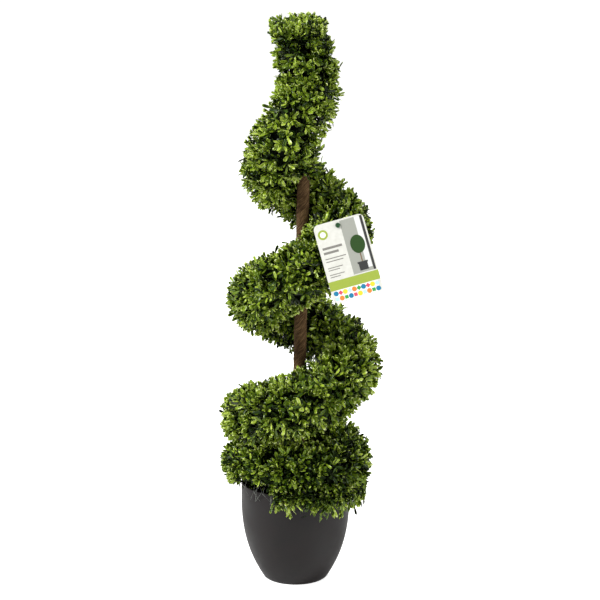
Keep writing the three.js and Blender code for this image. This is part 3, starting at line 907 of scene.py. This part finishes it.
# %% Sprigs
WHORLS = [  # place on the stalk, degrees its leaves open, size, kind, row of LEAF_TONES
    # The rows darken down the stalk, partly as the batches' own colours and partly as painted shade
    # deeper in the foliage.
    (0.42, 74, 0.95, "plain", 4),
    (0.64, 62, 1.02, "rimmed", 3),
    (0.84, 48, 1.06, "rimmed", 2),
    (1.00, 24, 1.00, "rimmed", 1),
]
LEAVES_A_WHORL = 4
STRAY = 0.9  # how far a leaf's angles vary
PLACE_STRAY = 0.16
LEAF_SIZE = (0.76, 0.43)
OLDER_BELOW, YOUNGER_ABOVE = 0.18, 0.88  # the luck at which a leaf is another row's
NEXT_TONE = 0.25
DULL, DULL_ROW = 3, 5  # the number that marks a dull sprig, and its row of LEAF_TONES
STALK_RADII = (1.1, 0.6)
LUMP_SIZE = 34


def side_of(along):
    """A direction square to each row."""
    return unit(np.cross(along, np.array([0.31, 0.22, 0.93])))


def lumps(points):
    """A slow noise over the plant, from -1 to 1, at each point."""
    return np.array([noise.noise(Vector(p) / LUMP_SIZE) for p in points])


def astray(reach, count):
    """A count of values by chance, up to half of the reach to either side."""
    return reach * (chance.random(count) - 0.5)


def grow_leaves(kind, root, along, length, tone, painted_light_shift):
    """Corners of every leaf of one kind on an array of sprigs, and the tone of each face."""
    leaf_corners, _, parts = LEAVES[kind]
    side = side_of(along)
    other = np.cross(along, side)
    spin = chance.random(len(root)) * 2 * np.pi
    count = len(root)
    corners, tones = [], []
    for number, (place, opening, size, whorl_kind, age) in enumerate(WHORLS):
        for leaf_number in range(LEAVES_A_WHORL if whorl_kind == kind else 0):
            angle = spin + (leaf_number + number / 2) * 2 * np.pi / LEAVES_A_WHORL
            angle = angle + astray(STRAY, count)
            opened = np.radians(opening) + astray(STRAY, count)
            radial = towards(side, other, angle)
            way = towards(along, radial, opened)
            face = along * np.sin(opened)[:, None] - radial * np.cos(opened)[:, None]
            across = np.cross(way, face)
            scale = size * drawn(LEAF_SIZE, count)
            foot = root + along * (length * (place + astray(PLACE_STRAY, count)))[:, None]
            axes = np.stack([across, way, face], 1) * scale[:, None, None]
            corners.append(foot[:, None] + leaf_corners[None] @ axes)
            luck = chance.random(count)
            # The shift makes a leaf one row darker as painted shade at the base and one row paler
            # as painted light under the top.
            leaf_age = age + (luck < OLDER_BELOW) - (luck > YOUNGER_ABOVE) + painted_light_shift
            # Rim faces take the next paler row, partly the margin's own colour and partly a painted
            # highlight.
            face_age = np.clip(leaf_age, 1, 4)[:, None] - (parts[None] == 1)
            face_age = np.where(tone[:, None] == DULL, DULL_ROW, face_age)
            shade = (tone + (chance.random(count) < NEXT_TONE)) % 3
            tones.append(face_age * 3 + shade[:, None])
    return np.concatenate(corners), np.concatenate(tones)


def grow_stalks(root, along, length, radii=STALK_RADII):
    """The corners of a three-sided stalk for each sprig."""
    side = side_of(along)
    other = np.cross(along, side)
    rings = []
    for share, radius in ((0, radii[0]), (0.97, radii[1])):
        for angle in (0, 2 * math.pi / 3, 4 * math.pi / 3):
            around = side * math.cos(angle) + other * math.sin(angle)
            rings.append(root + along * (length * share)[:, None] + around * radius)
    return np.stack(rings, 1)


STALK_FACES = np.array([
    (0, 1, 4), (0, 4, 3), (1, 2, 5), (1, 5, 4), (2, 0, 3), (2, 3, 5), (0, 2, 1), (3, 4, 5),
])


def joined(name, plastics, groups):
    """One mesh from groups of like pieces: corners in millimetres, the faces of one, and tones."""
    places, triangles, shades, first = [], [], [], 0
    for corners, faces, tones in groups:
        count, size, _ = corners.shape
        places.append(corners.reshape(-1, 3))
        onwards = (first + np.arange(count) * size)[:, None, None]
        triangles.append((faces[None] + onwards).reshape(-1))
        shades.append(np.broadcast_to(tones, (count, len(faces))).ravel())
        first += count * size
    places, triangles, shades = (np.concatenate(parts) for parts in (places, triangles, shades))
    mesh = bpy.data.meshes.new(name)
    mesh.vertices.add(len(places))
    mesh.vertices.foreach_set("co", (places * MM).astype(np.float32).ravel())
    mesh.loops.add(len(triangles))
    mesh.loops.foreach_set("vertex_index", triangles.astype(np.int32))
    mesh.polygons.add(len(triangles) // 3)
    mesh.polygons.foreach_set("loop_start", np.arange(0, len(triangles), 3, dtype=np.int32))
    for plastic in plastics:
        mesh.materials.append(plastic)
    mesh.polygons.foreach_set("material_index", shades.astype(np.int32))
    mesh.update(calc_edges=True)
    mesh.validate()
    piece = bpy.data.objects.new(name, mesh)
    scene.collection.objects.link(piece)
    return piece


# %% [markdown]
# ## Masses of foliage
#
# The masses are the CAD model's, one for each quarter turn. Each becomes a piece of leaves and one
# of stalks, so that no piece is too heavy. The sprigs' lengths follow a slow noise and chance, with
# some much longer ones, because a mat that was pressed flat in its box springs back unevenly.

# %% Masses of foliage
SPRIG_LEAST, BY_LUMPS, BY_LUCK = 0.74, 0.16, 0.34  # what a sprig's length is made up of
LONG_LUCK, LONGER = 0.84, 0.45  # the luck from which a sprig is long, and by how much
# The old sprigs at the lowest turn are painted shade under the turns above; the young ones under
# the top are painted light from above.
DULL_SHARE, BASE_SHADE_SHARE, TOP_LIGHT_SHARE = 0.02, 0.45, 0.4  # of the sprigs
BASE_SHADE_BELOW, TOP_LIGHT_FROM, TOP_LIGHT_TO = 1.6, 3.2, 4  # turns
BEYOND = 8  # a stalk is kept where a leaf this far past its end would be too
LEAF_TESTED = (1, 3, 4, 5, 6)  # corners of a leaf's outline: tip, sides and foot
leaf_total = face_total = 0
fringe_root, fringe_along, fringe_length, fringe_turn = fringe_sprigs()
start = STRAND_START
for name, end in MASSES:
    groups = [side_sprigs(start, end)]
    hanging = (fringe_turn > start) & (fringe_turn <= end)
    groups.append((fringe_root[hanging], fringe_along[hanging], fringe_length[hanging]))
    if start == STRAND_START:
        groups.append(end_sprigs(start, -strand_frame(np.array([start]))[2][0]))
    if end == STRAND_END:
        groups.append(end_sprigs(end, np.array([0.0, 0.0, 1.0])))
        groups.append(collar_sprigs())
    if start < 3 <= end:
        groups.append(beside_tag_sprigs())
    if name == "top_left":
        groups.append(pole_sprigs())
    root, along, length = (np.concatenate(parts) for parts in zip(*groups))
    luck = chance.random(len(root))
    uneven = SPRIG_LEAST + BY_LUMPS * lumps(root) + BY_LUCK * luck
    length = length * (uneven + LONGER * (luck > LONG_LUCK))
    # The right of the top is rounded off.
    rounding = SHOULDER["full"] - SHOULDER["from"]
    high = np.clip((root[:, 2] - SHOULDER["from"]) / rounding, 0, 1)
    length = length * (1 - SHOULDER["shorter"] * high * np.clip(along[:, 0], 0, 1))
    tone = chance.integers(0, 3, len(root))
    tone[chance.random(len(root)) < DULL_SHARE] = DULL
    # A share of the sprigs is one row darker at the lowest turn, as painted shade, and one row
    # paler under the top, as painted light.
    shaded_below = chance.random(len(root)) < BASE_SHADE_SHARE * (end < BASE_SHADE_BELOW)
    lit_above = chance.random(len(root)) < TOP_LIGHT_SHARE * (TOP_LIGHT_FROM < end < TOP_LIGHT_TO)
    painted_light_shift = shaded_below.astype(int) - lit_above
    groups = []
    for kind, (_, faces, _) in LEAVES.items():
        corners, tones = grow_leaves(kind, root, along, length, tone, painted_light_shift)
        kept = np.all([clear(corners[:, i]) for i in LEAF_TESTED], axis=0)
        groups.append((corners[kept], faces, tones[kept]))
        leaf_total += kept.sum()
    leaves = joined(f"leaves_{name}", leaf_plastics, groups)
    stalks = grow_stalks(root, along, length)
    beyond = root + along * (length + BEYOND)[:, None]
    stalks = stalks[clear(stalks[:, 0]) & clear(stalks[:, 3]) & clear(beyond)]
    twigs = joined(f"twigs_{name}", [stalk_plastic], [(stalks, STALK_FACES, 0)])
    for piece in (leaves, twigs):
        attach(piece, "root")
        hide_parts(f"foliage_{name}")
    face_total += len(leaves.data.polygons) + len(twigs.data.polygons)
    print(f"{name}: {len(root)} sprigs, {len(leaves.data.polygons)} faces")
    start = end
print(leaf_total, "leaves,", face_total, "faces")
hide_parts(*[f"foliage_{name}" for name, _ in MASSES])

# %% [markdown]
# A few ends of the thin wire that ties the mats hang over the planter's rim at the lower left. Each
# is three straight lengths that bend over the rim.

# %% Wire ends
WIRES = {"count": 9, "from": -150, "to": -114, "radius": 0.4}
WIRE_BENDS = [(84, 208, 5), (97, 195, 6), (102, 181, 9), (101.5, 166, 12)]  # reach, height, stray
# Plastic-coated binding wire, dusty: a grey that changes along it, with a dull gloss.
wire_plastic, shader = finish("coated_wire", "#747872", Roughness=0.45)
colour_by(wire_plastic, shader, mottle(wire_plastic, 4), (0.35, "#63665F"), (0.65, "#868A83"))
azimuth = drawn((WIRES["from"], WIRES["to"] - WIRES["from"]), WIRES["count"])
bends = []
for reach, height, stray in WIRE_BENDS:
    around = np.radians(azimuth + astray(stray, WIRES["count"]))
    level = height + astray(stray, WIRES["count"])
    bends.append(np.stack([reach * np.cos(around), reach * np.sin(around), level], 1))
lengths = []
for upper, lower in zip(bends, bends[1:]):
    span = np.linalg.norm(lower - upper, axis=1)
    radii = (WIRES["radius"], WIRES["radius"])
    lengths.append(grow_stalks(upper, (lower - upper) / span[:, None], span, radii))
wires = joined("wire_ends", [wire_plastic], [(np.concatenate(lengths), STALK_FACES, 0)])
said(wires)
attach(wires, "root")

# %% [markdown]
# ## Hang tag
#
# The tag is a printed card of coated stock, with round corners and a punched hole. The CAD model's
# card has the right shape, so it stays and only gets its material. The print is laid on it as very
# thin flat pieces: a plane or a circle, given its thickness by an extrusion, for each patch of ink.
# Its design is a plain one: an olive band, a strip of coloured shapes, a few grey rules where a
# printer would set words, a ring, and a round plant in a pot on a grey ground with a pale strip and
# a dark edge. No word or mark is on it.

# %% Print on the tag
INK_THICKNESS = 0.06
CARD_FACE = TAG["thickness"] / 2
INKS = {
    "olive": "#9FB146", "leaf": "#2B4A1E", "pale": "#A3A59C", "window": "#E6E7E4",
    "brown": "#7A624A", "pot": "#3A3A3A", "grey": "#85837D", "blue": "#1F7FA8",
    "green": "#3FA34D", "orange": "#F08A3C", "yellow": "#E9D83A", "pink": "#D9546A",
    "sky": "#BFE3F2", "white": "#F6F6F2",
}
inks = {
    name: finish(f"{name}_ink", colour, Roughness=0.35, IOR=1.5)[0] for name, colour in INKS.items()
}
printed = []


def ink(shape, colour, x, y, width, height, layer=0, turn=0, corners=4):
    """A patch of ink on the card: its middle and size in millimetres from the card's middle."""
    deselect()
    if shape == "plane":
        bpy.ops.mesh.primitive_plane_add(size=1)
    else:
        bpy.ops.mesh.primitive_circle_add(vertices=corners, radius=0.5, fill_type="NGON")
    patch = bpy.context.object
    edit_all()
    bpy.ops.transform.resize(value=(width * MM, height * MM, 1))
    bpy.ops.mesh.extrude_region_move(TRANSFORM_OT_translate={"value": (0, 0, INK_THICKNESS * MM)})
    face_outwards()
    bpy.ops.object.mode_set(mode="OBJECT")
    height_above = CARD_FACE + 0.02 + layer * (INK_THICKNESS + 0.02)
    local = Matrix.Translation((x, y, height_above)) @ Matrix.Rotation(math.radians(turn), 4, "Z")
    placed = card_matrix @ local
    placed.translation *= MM
    patch.matrix_world = placed
    patch.data.materials.append(inks[colour])
    printed.append(patch)


ink("plane", "olive", 0, -39, 87.6, 16)
ink("plane", "white", 0, -57.5, 76, 20)
ink("plane", "pale", 21.6, 18.6, 39.2, 95.2)
ink("plane", "window", 32, 21.5, 9, 89, layer=1)
ink("plane", "pot", 39.2, 18.6, 4, 95.2, layer=1)
ink("plane", "brown", 22, -3, 1.8, 24, layer=2)
ink("circle", "leaf", 22, 20, 25, 32, layer=3, corners=24)
ink("plane", "pot", 22, -19, 15, 13, layer=3)
ink("plane", "pot", 22, -12, 18, 3, layer=4)
ink("circle", "olive", -31, 50, 17, 17, corners=32)
ink("circle", "white", -31, 50, 10, 10, layer=1, corners=32)
RULES = [(26, 34, 4), (18, 26, 4), (8, 36, 1.6), (3, 30, 1.6),  # level, length, thickness
         (-8, 26, 1.4), (-12, 20, 1.4), (-20, 26, 1.4), (-24, 18, 1.4)]
RULES_LEFT = -38
for y, width, thick in RULES:
    ink("plane", "grey", RULES_LEFT + width / 2, y, width, thick)
STRIP_INKS = ["blue", "green", "orange", "sky", "yellow", "pink"]
STRIP_LEFT, STRIP_TOP, ACROSS, DOWN, SHAPE, COLUMNS, ROWS = -36, -52.5, 8, 9.5, 8.4, 10, 2
for number in range(COLUMNS * ROWS):
    row, column = divmod(number, COLUMNS)
    x, y = STRIP_LEFT + ACROSS * column, STRIP_TOP - DOWN * row
    ink("circle", STRIP_INKS[(number * 5 + row) % 6], x, y, SHAPE, SHAPE, layer=1, turn=45 * row,
        corners=4 if (number + row) % 2 else 20)
deselect()
for patch in printed:
    patch.select_set(True)
bpy.context.view_layer.objects.active = printed[0]
bpy.ops.object.join()
tag_print = named("tag_print")
said(tag_print)
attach(tag_print, "root")

# %% Card stock
# Coated board: a warm off-white, with the faint cloud of its pulp and a soft gloss.
board, shader = finish("coated_board", "#DDDDD5", Roughness=0.4, IOR=1.5)
colour_by(board, shader, mottle(board, 7, detail=4.0), (0.3, "#D7D7CE"), (0.7, "#E2E2DA"))
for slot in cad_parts["tag_card"].material_slots:
    slot.material = board

# %% [markdown]
# ## Button and tie
#
# A small dark green plastic button stands on the hole, and a tie runs from it through the hole and
# back into the foliage. The tie is a curve with a round bevel. The button is a short cylinder whose
# face is inset and pushed in, with its edges bevelled, as a moulded rivet's head is.

# %% Button and tie
BUTTON = {"radius": 4.2, "thickness": 2, "hole": (-2, 59.5), "rim": 1.3, "step": 0.4,
          "sunk": 0.6, "soft": 0.3}
TIE_RADIUS, TIE_SUNK, TIE_TURN = 1.2, 10, 2.92
TIE_BEHIND, TIE_BEND = -6, 12


def on_card(z):
    """A point over the middle of the card's hole, in millimetres."""
    return card_matrix @ Vector((*BUTTON["hole"], z))


deselect()
bpy.ops.mesh.primitive_cylinder_add(
    vertices=32, radius=BUTTON["radius"] * MM, depth=BUTTON["thickness"] * MM
)
button = bpy.context.object
choose(button, "FACE", lambda face: face.normal.z > 0.9)
bpy.ops.mesh.inset(thickness=BUTTON["rim"] * MM)
bpy.ops.mesh.inset(thickness=BUTTON["step"] * MM, depth=-BUTTON["sunk"] * MM)
bpy.ops.object.mode_set(mode="OBJECT")
soften = button.modifiers.new("soft_edges", "BEVEL")
soften.width = BUTTON["soft"] * MM
soften.segments = 2
bpy.ops.object.modifier_apply(modifier=soften.name)
button_place = card_matrix @ Matrix.Translation(
    (*BUTTON["hole"], CARD_FACE + CLEARANCE + BUTTON["thickness"] / 2)
)
button_place.translation *= MM
button.matrix_world = button_place

tie_middle, _, _, tie_reach = strand_middle(np.array([TIE_TURN]))
tie_middle, tie_reach = Vector(tie_middle[0]), tie_reach[0]
to_tie = (on_card(TIE_BEHIND) - tie_middle).normalized()
tie_path = [
    on_card(CARD_FACE + CLEARANCE + BUTTON["thickness"] / 2),
    on_card(TIE_BEHIND),
    tie_middle + to_tie * (tie_reach + TIE_BEND),
    tie_middle + to_tie * (tie_reach - TIE_SUNK),
]
tie, line = tube("hang_tie", TIE_RADIUS, 4, "BEZIER", len(tie_path))
tie.data.resolution_u = 8
for point, at in zip(line.bezier_points, tie_path):
    point.co = at * MM
    point.handle_left_type = point.handle_right_type = "AUTO"
bpy.ops.object.convert(target="MESH")
button.select_set(True)
bpy.ops.object.join()
tie = named("hang_tie")
bpy.ops.object.shade_smooth_by_angle(angle=math.radians(40))
said(tie)

# Moulded polyethylene, dark green and glossy, with a slight cloud from the mould's flow.
gloss, shader = finish("glossy_polyethylene", "#1F4A26", Roughness=0.32, IOR=1.51)
colour_by(gloss, shader, mottle(gloss, 4), (0.3, "#1A4020"), (0.7, "#26552E"))
tie.data.materials.append(gloss)
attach(tie, "root")
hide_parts("tag_tie")
